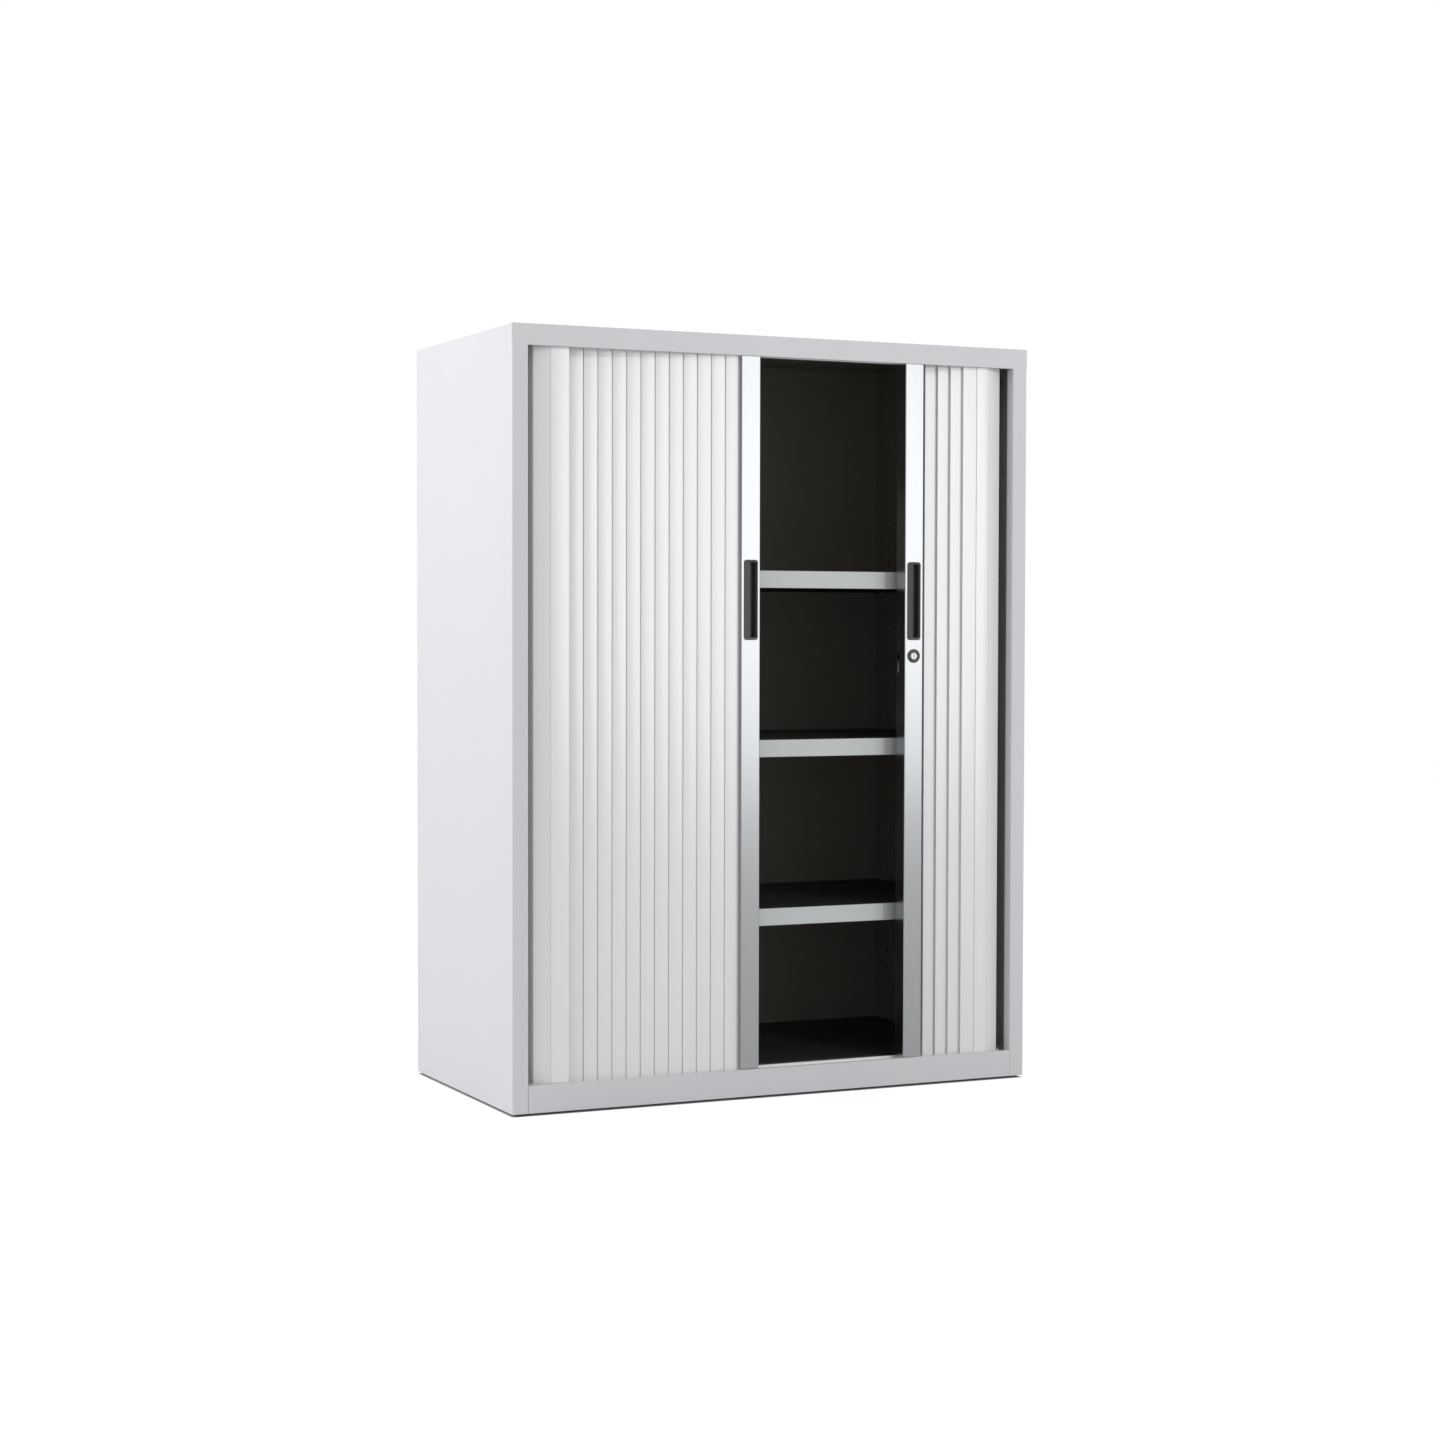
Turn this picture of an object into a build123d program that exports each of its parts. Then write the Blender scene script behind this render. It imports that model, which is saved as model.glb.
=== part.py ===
from build123d import *
import math
import os

# A free-standing steel cupboard with two tambour doors, shown with both doors part way open.
# Lengths are in mm. U runs from the left outer side to the right, V from the front face to the
# back, and Z up from the floor. The origin is under the middle of the cupboard, on the floor.

# Overall size
width = 900.0
depth = 450.0
height = 1200.0

# Casing
sheet = 1.2
fold_radius = 2.0
floor_gap = 4.0
stile_width = 26.0
stile_return = 18.0
top_rail_height = 32.0
bottom_rail_top = 46.5
rail_lip = 5.4
rear_return = 22.0
top_flange = 14.0
top_nose = 3.0
skirt_start = 60.0
skirt_end = 6.0
top_skirt_bottom = 1184.0
base_top = 40.0
rail_foot = 14.0
rivet_head_height = 1.0
rivet_head_radius = 3.2
rivet_shank_radius = 1.6
rivets_a_side = 6

# Interior
interior_front = 50.0
inner_wall_u = 38.5
inner_wall_top = height - sheet
inner_wall_return = 3.0
floor_liner_height = 6.0
shelf_side_gap = 0.3
shelf_back_gap = 8.0
shelf_thickness = 27.5
shelf_tops = [834.0, 564.0, 294.0]
shelf_edge_depth = 2.0
slot_pitch = 30.0
slot_height = 7.0
slot_width = 5.0
slot_first = 77.0
slot_count = 36
slot_columns = [90.0, 400.0]
clip_reach = 12.0
clip_width = 12.0
clip_ledge = 2.0
clip_plate = 1.5
clip_drop = 16.0
clip_hook_z = (8.4, 4.4)

# Curtain path: front run, a corner of two slats and the side run
side_run_u = 30.0
bend_radius = 35.0
curtain_v = 8.0
strip_sheet = 1.2
slat_bottom = 42.2
slat_top = 1176.0

# Slats of the front run lie one behind the other. On the left the one at the bar is foremost, and
# a second strip stands behind them. On the right the one at the bend is foremost.
slats_a_door = 12
slat_width = 29.0
slat_sheet = 0.6
slat_relief = 0.8
slat_lip = 5.0
slat_step = 1.7
first_slat_v = 9.6
left_strip_edge = 95.4
rear_strip_edge = 110.4
rear_strip_v = 30.1
left_slat_start = 109.7
left_slat_pitch = 23.2
right_strip_edge = 811.0
right_nest_pitch = 20.8
right_nest = 3
nest_overlap = 4.2
side_slat_pitch = 24.0
side_slat_thickness = 3.5
left_side_slats = 4
right_side_slats = 12

# Leading bars
bar_width = 32.5
bar_front_v = 3.0
bar_plate = 1.5
bar_edge_radius = 0.6
bar_meeting_radius = 1.4
bar_rear_v = 31.2
bar_rear_plate = 1.2
bar_bottom = 47.5
bar_top = 1167.5
left_bar_u = 383.5
right_bar_u = 675.5
right_tongue_end = 730.0
glide_height = 26.0
glide_tongue_v = (8.5, 29.0)
lock_slot_v = (22.0, 27.6)
lock_slot_below = 27.0
lock_slot_above = 7.0
strike_sheet = 1.5
strike_front_v = 16.0
strike_below = 38.0
strike_above = 18.0

# Handles and lock
handle_width = 24.0
handle_height = 126.0
handle_z = 786.5
handle_proud = 1.2
handle_depth = 12.0
handle_wall = 1.6
handle_floor = 0.5
cup_side_inset = 2.2
cup_end_inset = 3.2
lock_z = 698.0
lock_ring_radius = 11.2
lock_barrel_radius = 9.0
lock_plug_radius = 6.2
lock_barrel_end = 22.0
lock_ring_proud = 1.8
lock_plug_proud = 1.2
lock_nut_radius = 11.6
lock_nut_height = 4.0
keyway_width = 1.2
keyway_height = 8.4
keyway_end = 9.0
cam_square = 6.0
cam_square_end = 27.0
cam_v = 23.6
cam_length = 25.0
cam_half_width = 5.0
cam_thickness = 2.0

# Feet
foot_inset_u = 60.0
foot_inset_v = 70.0
foot_pad_radius = 16.0
foot_pad_height = 7.0
foot_pad_round = 2.0
foot_stem_radius = 4.0
foot_nut_width = 22.0
foot_nut_bottom = 20.0


def block(u, v, z):
    """A box between two limits across the width, the depth and the height."""
    sides = [high - low for low, high in (u, v, z)]
    middle = [(low + high) / 2 for low, high in (u, v, z)]
    place = Pos(middle[0] - width / 2, middle[1] - depth / 2, middle[2])
    return place * Box(*sides)


def upright(points, z):
    """A prism on a closed outline of (u, v) points between two heights."""
    outline = Polyline(*[(u - width / 2, v - depth / 2) for u, v in points], close=True)
    return Pos(0, 0, z[0]) * extrude(make_face(outline), amount=z[1] - z[0])


def folded(points, z):
    """Sheet folded along a line of (u, v) points on its outer face, between two heights."""
    line = FilletPolyline(*[(u - width / 2, v - depth / 2) for u, v in points], radius=fold_radius)
    section = make_face(offset(line, amount=sheet, side=Side.RIGHT, closed=True))
    return Pos(0, 0, z[0]) * extrude(section, amount=z[1] - z[0])


def rod(u, v, z, radius, axis_v=None, axis_z=None):
    """A cylinder through (u, v, z), along V or along Z between two limits."""
    if axis_v:
        middle = (axis_v[0] + axis_v[1]) / 2
        turned = Rot(90, 0, 0) * Cylinder(radius, axis_v[1] - axis_v[0])
        return Pos(u - width / 2, middle - depth / 2, z) * turned
    middle = (axis_z[0] + axis_z[1]) / 2
    return Pos(u - width / 2, v - depth / 2, middle) * Cylinder(radius, axis_z[1] - axis_z[0])


def across(shape):
    """The same shape on the other side of the cupboard."""
    return mirror(shape, about=Plane.YZ)


def group(shapes):
    """Separate solids kept in one node."""
    solids = []
    for shape in shapes:
        solids += shape.solids()
    return Compound(solids)


def save(name, shape):
    export_step(shape, f"parts/{name}.step")


# Casing: the back carries rivet heads, so its own face lies one head's height inside the depth.
rear_face = depth - rivet_head_height
rail_z = height - top_rail_height


def make_top_panel():
    """Flat top, the front rail and the rail's lip, with a skirt down each side."""
    rail = block((0, width), (0, sheet), (rail_z, height))
    rail = fillet(rail.edges().filter_by(Axis.X).group_by(Axis.Z)[-1].group_by(Axis.Y)[0], 1.0)
    nose = block((0, width), (sheet, top_nose), (height - sheet, height))
    lip = block((stile_width, width - stile_width), (sheet, rail_lip), (rail_z, rail_z + sheet))
    flat = block((top_flange, width - top_flange), (top_nose, rear_face), (height - sheet, height))
    skirt_v = (skirt_start, rear_face - skirt_end)
    skirt = block((top_flange, top_flange + sheet), skirt_v, (top_skirt_bottom, height - sheet))
    return rail + nose + lip + flat + skirt + across(skirt)


def make_side_panel(top_panel):
    """Left side: stile with its return flange, outer side and rear return, and a flange on top."""
    rear = [(0, rear_face), (rear_return, rear_face)]
    lower = folded([(stile_width, stile_return), (stile_width, 0), (0, 0)] + rear, (floor_gap, rail_z))
    upper = folded([(0, sheet)] + rear, (rail_z, height - sheet - 1.0))
    left = -width / 2
    bend = [(left, rail_z + 20.0), (left, height), (left + top_flange, height)]
    line = Plane.XZ * FilletPolyline(*bend, radius=fold_radius)
    section = make_face(offset(line, amount=sheet, side=Side.RIGHT, closed=True))
    length = rear_face - top_nose - sheet
    flange = Pos(0, top_nose - depth / 2, 0) * extrude(section, amount=length, dir=(0, 1, 0))
    return lower + upper + flange - top_panel


def make_base_panel():
    """Flat base with a skirt on each side and at the back."""
    back = rear_face - 2 * sheet
    skirt_z = (floor_gap, base_top - sheet)
    flat = block((sheet, width - sheet), (sheet + 1.0, back), (base_top - sheet, base_top))
    left = block((sheet, 2 * sheet), (skirt_start, back), skirt_z)
    rear = block((2 * sheet, width - 2 * sheet), (back - sheet, back), skirt_z)
    notch = block((stile_width - sheet, stile_width), (0, stile_return), (0, base_top + 1))
    return flat + left + across(left) + rear - notch - across(notch)


def make_bottom_rail():
    """Rail between the stiles, with a lip at its top and a return at its foot."""
    span = (stile_width, width - stile_width)
    face = block(span, (0, sheet), (floor_gap, bottom_rail_top))
    lip = block(span, (sheet, rail_lip), (bottom_rail_top - sheet, bottom_rail_top))
    foot = block(span, (sheet, rail_foot), (floor_gap, floor_gap + sheet))
    return face + lip + foot


def rivet_places():
    """Where the back is riveted to the rear returns."""
    first = 80.0
    pitch = (height - 2 * first) / (rivets_a_side - 1)
    for u in (rear_return / 2 + 1.0, width - rear_return / 2 - 1.0):
        for row in range(rivets_a_side):
            yield u, first + row * pitch


def make_rivets():
    """Round-headed rivets through the rear returns and the back."""
    rivets = []
    for u, z in rivet_places():
        head = rod(u, 0, z, rivet_head_radius, axis_v=(rear_face, depth))
        head = fillet(head.edges().group_by(Axis.Y)[-1], rivet_head_height * 0.7)
        shank = rod(u, 0, z, rivet_shank_radius, axis_v=(rear_face - 2 * sheet, rear_face))
        rivets.append(head + shank)
    return group(rivets)


def drill_rivets(panel):
    """The rivet holes of a panel."""
    for u, z in rivet_places():
        panel -= rod(u, 0, z, rivet_shank_radius, axis_v=(rear_face - 4 * sheet, depth))
    return panel


def make_back_panel():
    """Flat back between the rear returns."""
    u = (sheet + 1.0, width - sheet - 1.0)
    return block(u, (rear_face - 2 * sheet, rear_face - sheet), (floor_gap, height - sheet))


# Interior
def make_inner_wall():
    """Left inner wall with a return at its front edge and two columns of clip slots."""
    z = (base_top, inner_wall_top)
    front = (interior_front, interior_front + sheet)
    wall = block((inner_wall_u, inner_wall_u + sheet), (interior_front, rear_face - 2 * sheet), z)
    wall = wall + block((inner_wall_u - inner_wall_return, inner_wall_u), front, z)
    slots = []
    for v in slot_columns:
        slot_v = (v - slot_width / 2, v + slot_width / 2)
        for row in range(slot_count):
            low = slot_first + row * slot_pitch
            through = (inner_wall_u - 1, inner_wall_u + 2)
            slots.append(block(through, slot_v, (low, low + slot_height)))
    return wall - slots


def tray(u, v, z):
    """A sheet with its four edges folded down."""
    hollow_u = (u[0] + sheet, u[1] - sheet)
    hollow_v = (v[0] + sheet, v[1] - sheet)
    return block(u, v, z) - block(hollow_u, hollow_v, (z[0] - 1, z[1] - sheet))


def make_floor_liner():
    """Raised floor of the interior."""
    u = (inner_wall_u + sheet, width - inner_wall_u - sheet)
    v = (interior_front, rear_face - 2 * sheet)
    return tray(u, v, (base_top, base_top + floor_liner_height))


shelf_start = inner_wall_u + sheet + shelf_side_gap
shelf_span = (shelf_start, width - shelf_start)


def make_shelf(top):
    """One folded steel shelf, behind its front edge strip."""
    v = (interior_front + shelf_edge_depth, rear_face - shelf_back_gap)
    return tray(shelf_span, v, (top - shelf_thickness, top))


def make_shelf_edges():
    """Front edge strips of the three shelves."""
    v = (interior_front, interior_front + shelf_edge_depth)
    strips = []
    for top in shelf_tops:
        strip = block(shelf_span, v, (top - shelf_thickness, top))
        strips.append(fillet(strip.edges().filter_by(Axis.X).group_by(Axis.Y)[0], 0.8))
    return group(strips)


def make_shelf_clips():
    """Clips hooked into the wall slots, four under each shelf."""
    clips = []
    wall = inner_wall_u + sheet
    for top in shelf_tops:
        under = top - shelf_thickness
        for v in slot_columns:
            clip_v = (v - clip_width / 2, v + clip_width / 2)
            hook_v = (v - slot_width / 2 + 0.3, v + slot_width / 2 - 0.3)
            hook_z = (under - clip_hook_z[0], under - clip_hook_z[1])
            ledge = block((wall, wall + clip_reach), clip_v, (under - clip_ledge, under))
            plate = block((wall, wall + clip_plate), clip_v, (under - clip_drop, under - clip_ledge))
            hook = block((inner_wall_u - sheet, wall), hook_v, hook_z)
            clip = ledge + plate + hook
            clips += [clip, across(clip)]
    return group(clips)


# Tracks
track_wall = 1.2
track_rear_v = 32.0
track_inner_u = 34.0
track_end_v = 425.0
track_corner = 50.0
track_web = 1.5
top_web_z = 1180.0
stop_length = 10.0
front_run_end = side_run_u + bend_radius


def bend_points(inset):
    """Left corner of the curtain path, from the side run to the front run, moved inwards by inset."""
    radius = bend_radius - inset / math.cos(math.radians(22.5))
    points = []
    for angle in (180, 225, 270):
        u = front_run_end + radius * math.cos(math.radians(angle))
        v = curtain_v + bend_radius + radius * math.sin(math.radians(angle))
        points.append((u, v))
    return points


def track_outline(inset, end_v):
    """Outer line of the track in plan, from the left end of the side run to the right."""
    left = [(side_run_u + inset, end_v)]
    left += bend_outline(inset)
    right = [(width - u, v) for u, v in reversed(left)]
    return left + right


def bend_outline(inset):
    """Round corner of the track in plan, inset from the curtain's outer face."""
    radius = bend_radius - inset
    points = []
    for step in range(7):
        angle = math.radians(180 + 15 * step)
        u = front_run_end + radius * math.cos(angle)
        v = curtain_v + bend_radius + radius * math.sin(angle)
        points.append((u, v))
    return points


def make_track(web_z, wall_z):
    """Guide channel in plan: a web with an outer wall, and inner walls along each straight run."""
    outer = track_outline(-2 * track_wall, track_end_v)
    inner = track_outline(-track_wall, track_end_v + 1)
    side_u = track_inner_u + track_wall
    core = [(side_u, track_end_v + 1), (side_u, track_corner)]
    core += [(track_corner, track_rear_v + track_wall)]
    core += [(width - u, v) for u, v in reversed(core)]
    web = upright(outer, web_z) - upright(core, web_z)
    wall = upright(outer, wall_z) - upright(inner, wall_z)
    front_u = (track_corner, width - track_corner)
    front = block(front_u, (track_rear_v, track_rear_v + track_wall), wall_z)
    side = block((track_inner_u, side_u), (track_corner, track_end_v), wall_z)
    return web + wall + front + side + across(side)


def make_end_stops():
    """Rubber stops at the four rear ends of the track."""
    stops = []
    u = (side_run_u - 0.9, track_inner_u - 0.3)
    v = (track_end_v - 4.0 - stop_length, track_end_v - 4.0)
    for z in ((base_top + track_web, bottom_rail_top), (top_web_z - 8.0, top_web_z)):
        stop = block(u, v, z)
        stops += [stop, across(stop)]
    return group(stops)


# Slats that stay on the corner and on the side run
def corner_slats():
    """The two left corner slats, each along a chord of the corner."""
    outer = bend_points(0)
    inner = bend_points(side_slat_thickness)
    slats = []
    for start in range(2):
        here, there = outer[start], outer[start + 1]
        back, front = inner[start + 1], inner[start]
        ends = [along(here, there, 0.012), along(here, there, 0.988)]
        backs = [along(front, back, 0.988), along(front, back, 0.012)]
        slats.append(upright(ends + backs, (slat_bottom, slat_top)))
    return slats


def along(start, end, share):
    """A point part of the way from start to end."""
    return tuple(a + (b - a) * share for a, b in zip(start, end))


def strip(low, high, v):
    """A flat strip of curtain beside the corner."""
    return block((low, high), (v, v + strip_sheet), (slat_bottom, slat_top))


def side_slats(count):
    """Slats on the left side run, back from the corner."""
    slats = []
    for place in range(count):
        v = curtain_v + bend_radius + 0.3 + place * side_slat_pitch
        outer = side_run_u
        inner = side_run_u + side_slat_thickness
        ends = [(outer, v + 1.2), (outer + 1.2, v), (inner, v), (inner, v + side_slat_pitch - 0.5)]
        ends += [(outer + 1.2, v + side_slat_pitch - 0.5), (outer, v + side_slat_pitch - 1.7)]
        slats.append(upright(ends, (slat_bottom, slat_top)))
    return group(slats)


# Moving slats
def make_slat(layer, edge, direction):
    """One slat with its turned edge at edge, and its flat part towards direction."""
    v = first_slat_v + (layer - 1) * slat_step
    front = [(slat_width, 0), (slat_lip * 2.4, 0), (slat_lip, slat_relief / 4), (0, slat_relief)]
    back = [(0, slat_relief + slat_sheet), (slat_lip, slat_relief / 4 + slat_sheet)]
    back += [(slat_lip * 2.4, slat_sheet), (slat_width, slat_sheet)]
    outline = [(edge + direction * x, v + y) for x, y in front + back]
    return upright(outline, (slat_bottom, slat_top))


def left_slat_edge(place):
    """Right edge of a left-door slat at rest, where place 1 is nearest the corner."""
    return left_slat_start + left_slat_pitch * place


def right_slat_edge(place):
    """Left edge of a right-door slat at rest, where the slats are nested in threes."""
    nest = math.ceil(place / right_nest)
    return right_strip_edge - right_nest_pitch * nest - nest_overlap


# Leading bars, drawn for the left door
bar_end_u = left_bar_u + bar_width


def lock_slot(u, wall):
    """Slot in a bar's meeting wall, long enough for the cam to swing through."""
    z = (lock_z - lock_slot_below, lock_z + lock_slot_above)
    return block((u, u + wall), lock_slot_v, z)


def face_edges(plate):
    """A plate's upright edges in its front face, from left to right."""
    return plate.edges().filter_by(Axis.Z).group_by(Axis.Y)[0].sort_by(Axis.X)


def make_bar():
    """Left leading bar: an open channel with its front plate, meeting wall and rear plate."""
    span = (bar_bottom, bar_top)
    front = block((left_bar_u, bar_end_u), (bar_front_v, bar_front_v + bar_plate), span)
    front = fillet(face_edges(front)[-1], bar_meeting_radius)
    front = fillet(face_edges(front)[0], bar_edge_radius)
    wall = block((bar_end_u - bar_plate, bar_end_u), (bar_front_v + bar_plate, bar_rear_v), span)
    rear_v = (bar_rear_v - bar_rear_plate, bar_rear_v)
    rear = block((left_bar_u + 3.0, bar_end_u - bar_plate), rear_v, span)
    middle = (left_bar_u + bar_end_u) / 2
    half_u = handle_width / 2 - 2.0
    half_z = handle_height / 2 - 3.0
    hole = block((middle - half_u, middle + half_u), (0, 10), (handle_z - half_z, handle_z + half_z))
    return front + wall + rear - hole - lock_slot(bar_end_u - bar_plate, bar_plate)


def make_glides():
    """Glides in the left bar's two ends, each with a tongue in the track."""
    u = (left_bar_u + 11.0, bar_end_u - bar_plate)
    v = (bar_front_v + bar_plate, bar_rear_v - bar_rear_plate)
    low = block(u, v, (bar_bottom, bar_bottom + glide_height))
    low = low + block(u, glide_tongue_v, (slat_bottom, bar_bottom))
    high = block(u, v, (bar_top - glide_height, bar_top))
    high = high + block(u, glide_tongue_v, (bar_top, slat_top))
    return group([low, high])


def make_handle(bar_u):
    """Recessed grip: a flange on the bar's face round a scoop that deepens to the right."""
    middle = bar_u + bar_width / 2
    half_u = handle_width / 2
    half_z = handle_height / 2
    u = (middle - half_u, middle + half_u)
    z = (handle_z - half_z, handle_z + half_z)
    flange = block(u, (bar_front_v - handle_proud, bar_front_v), z)
    flange = fillet(flange.edges().filter_by(Axis.Y), 3.0)
    flange = fillet(flange.faces().sort_by(Axis.Y)[0].edges(), 0.8)
    reach = half_u - cup_side_inset
    rise = half_z - cup_end_inset
    cup_u = (middle - reach, middle + reach)
    cup = block(cup_u, (bar_front_v, bar_front_v + handle_depth), (handle_z - rise, handle_z + rise))
    deep = bar_front_v + handle_depth - handle_wall
    mouth = reach - handle_wall
    high = rise - handle_wall
    pocket_points = [(middle - mouth, -1), (middle + mouth, -1), (middle + mouth, deep)]
    pocket_points += [(middle + handle_floor, deep), (middle - mouth, bar_front_v)]
    pocket = upright(pocket_points, (handle_z - high, handle_z + high))
    return flange + cup - pocket


def make_strike():
    """Strike plate behind the left bar's meeting wall."""
    u = bar_end_u - bar_plate - strike_sheet
    v = (strike_front_v, bar_rear_v - bar_rear_plate)
    z = (lock_z - strike_below, lock_z + strike_above)
    return block((u, u + strike_sheet), v, z) - lock_slot(u, strike_sheet)


# Lock, in the right bar
lock_u = right_bar_u + bar_width / 2


def centred_block(across_u, up_z, v):
    """A box centred on the lock's axis."""
    u = (lock_u - across_u / 2, lock_u + across_u / 2)
    return block(u, v, (lock_z - up_z / 2, lock_z + up_z / 2))


def make_lock_housing():
    """Cylinder body with its ring on the bar's face."""
    ring = rod(lock_u, 0, lock_z, lock_ring_radius, axis_v=(bar_front_v - lock_ring_proud, bar_front_v))
    ring = fillet(ring.edges().group_by(Axis.Y)[0], 0.8)
    barrel = rod(lock_u, 0, lock_z, lock_barrel_radius, axis_v=(bar_front_v, lock_barrel_end))
    bore = rod(lock_u, 0, lock_z, lock_plug_radius + 0.15, axis_v=(0, depth / 2))
    return ring + barrel - bore


def make_lock_nut():
    """Hexagon nut that clamps the housing to the bar."""
    hexagon = extrude(RegularPolygon(lock_nut_radius, 6), amount=lock_nut_height)
    rear = bar_front_v + bar_plate + lock_nut_height
    place = Pos(lock_u - width / 2, rear - depth / 2, lock_z)
    nut = place * Rot(90, 0, 0) * Rot(0, 0, 30) * hexagon
    return nut - rod(lock_u, 0, lock_z, lock_barrel_radius, axis_v=(0, depth / 2))


def make_lock_plug():
    """Turning plug with its keyway, and a square end for the cam."""
    rear = lock_barrel_end + 0.4
    plug = rod(lock_u, 0, lock_z, lock_plug_radius, axis_v=(bar_front_v - lock_plug_proud, rear))
    keyway = centred_block(keyway_width, keyway_height, (0, keyway_end))
    return plug - keyway + centred_block(cam_square, cam_square, (rear, cam_square_end))


def make_lock_cam():
    """Flat cam on the plug's square end, hanging down when unlocked."""
    v = (cam_v, cam_v + cam_thickness)
    blade = block((lock_u - cam_half_width, lock_u + cam_half_width), v, (lock_z - cam_length, lock_z))
    boss = rod(lock_u, 0, lock_z, cam_half_width, axis_v=v)
    return blade + boss - centred_block(cam_square, cam_square, (0, depth / 2))


# Feet
def foot_places():
    for u in (foot_inset_u, width - foot_inset_u):
        for v in (foot_inset_v, depth - foot_inset_v):
            yield u, v


def make_feet():
    """Levelling feet: a pad under the base with a threaded stem."""
    feet = []
    for u, v in foot_places():
        pad = rod(u, v, 0, foot_pad_radius, axis_z=(0, foot_pad_height))
        pad = fillet(pad.edges().group_by(Axis.Z)[-1], foot_pad_round)
        stem_z = (foot_pad_height, base_top - sheet - 1.0)
        feet.append(pad + rod(u, v, 0, foot_stem_radius, axis_z=stem_z))
    return group(feet)


def make_foot_nuts():
    """Square nuts under the base that the feet screw into."""
    nuts = []
    half = foot_nut_width / 2
    for u, v in foot_places():
        nut = block((u - half, u + half), (v - half, v + half), (foot_nut_bottom, base_top - sheet))
        nuts.append(nut - rod(u, v, 0, foot_stem_radius, axis_z=(0, base_top - sheet - 0.5)))
    return group(nuts)


def save_casing():
    top_panel = make_top_panel()
    side_panel = drill_rivets(make_side_panel(top_panel))
    save("top_panel", top_panel)
    save("side_panel_left", side_panel)
    save("side_panel_right", across(side_panel))
    save("base_panel", make_base_panel())
    save("bottom_rail", make_bottom_rail())
    save("back_panel", drill_rivets(make_back_panel()))
    save("casing_rivets", make_rivets())
    save("levelling_feet", make_feet())
    save("foot_nuts", make_foot_nuts())


def save_interior():
    inner_wall = make_inner_wall()
    save("inner_wall_left", inner_wall)
    save("inner_wall_right", across(inner_wall))
    save("floor_liner", make_floor_liner())
    for name, top in zip(("upper", "middle", "lower"), shelf_tops):
        save(f"shelf_{name}", make_shelf(top))
    save("shelf_front_edges", make_shelf_edges())
    save("shelf_clips", make_shelf_clips())


def save_tracks():
    low_web = (base_top, base_top + track_web)
    save("track_bottom", make_track(low_web, (low_web[1], bottom_rail_top)))
    high_web = (top_web_z, top_web_z + track_web)
    save("track_top", make_track(high_web, (rail_z + sheet, top_web_z)))
    save("track_end_stops", make_end_stops())


def save_curtains():
    corner = corner_slats()
    strip_start = front_run_end + 0.4
    left_strip = strip(strip_start, left_strip_edge, curtain_v)
    rear_strip = strip(strip_start, rear_strip_edge, rear_strip_v)
    right_strip = strip(right_strip_edge, width - strip_start, curtain_v)
    save("left_bend_slats", group(corner + [left_strip, rear_strip]))
    save("right_bend_slats", group([across(slat) for slat in corner] + [right_strip]))
    save("left_side_slats", side_slats(left_side_slats))
    save("right_side_slats", across(side_slats(right_side_slats)))
    for place in range(1, slats_a_door + 1):
        layer = slats_a_door + 1 - place
        save(f"left_slat_{place:02d}", make_slat(layer, left_slat_edge(place), -1))
        save(f"right_slat_{place:02d}", make_slat(place, right_slat_edge(place), 1))


def make_right_bar(mirrored):
    """Right leading bar: the left one mirrored, with the lock's hole and a longer rear plate."""
    hole = rod(lock_u, 0, lock_z, lock_barrel_radius, axis_v=(0, bar_front_v + bar_plate))
    tongue_v = (bar_rear_v - bar_rear_plate, bar_rear_v)
    tongue = block((right_bar_u + bar_width / 2, right_tongue_end), tongue_v, (bar_bottom, bar_top))
    return mirrored - hole + tongue


def save_doors():
    bar = make_bar()
    glides = make_glides()
    to_right = Pos(right_bar_u + bar_width - (width - left_bar_u), 0, 0)
    save("left_bar", bar)
    save("left_bar_glides", glides)
    save("left_handle", make_handle(left_bar_u))
    save("lock_strike", make_strike())
    save("right_bar", make_right_bar(to_right * across(bar)))
    save("right_bar_glides", to_right * across(glides))
    save("right_handle", make_handle(right_bar_u))
    save("lock_housing", make_lock_housing())
    save("lock_nut", make_lock_nut())
    save("lock_plug", make_lock_plug())
    save("lock_cam", make_lock_cam())


os.makedirs("parts", exist_ok=True)
save_casing()
save_interior()
save_tracks()
save_curtains()
save_doors()
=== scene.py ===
import math

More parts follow.
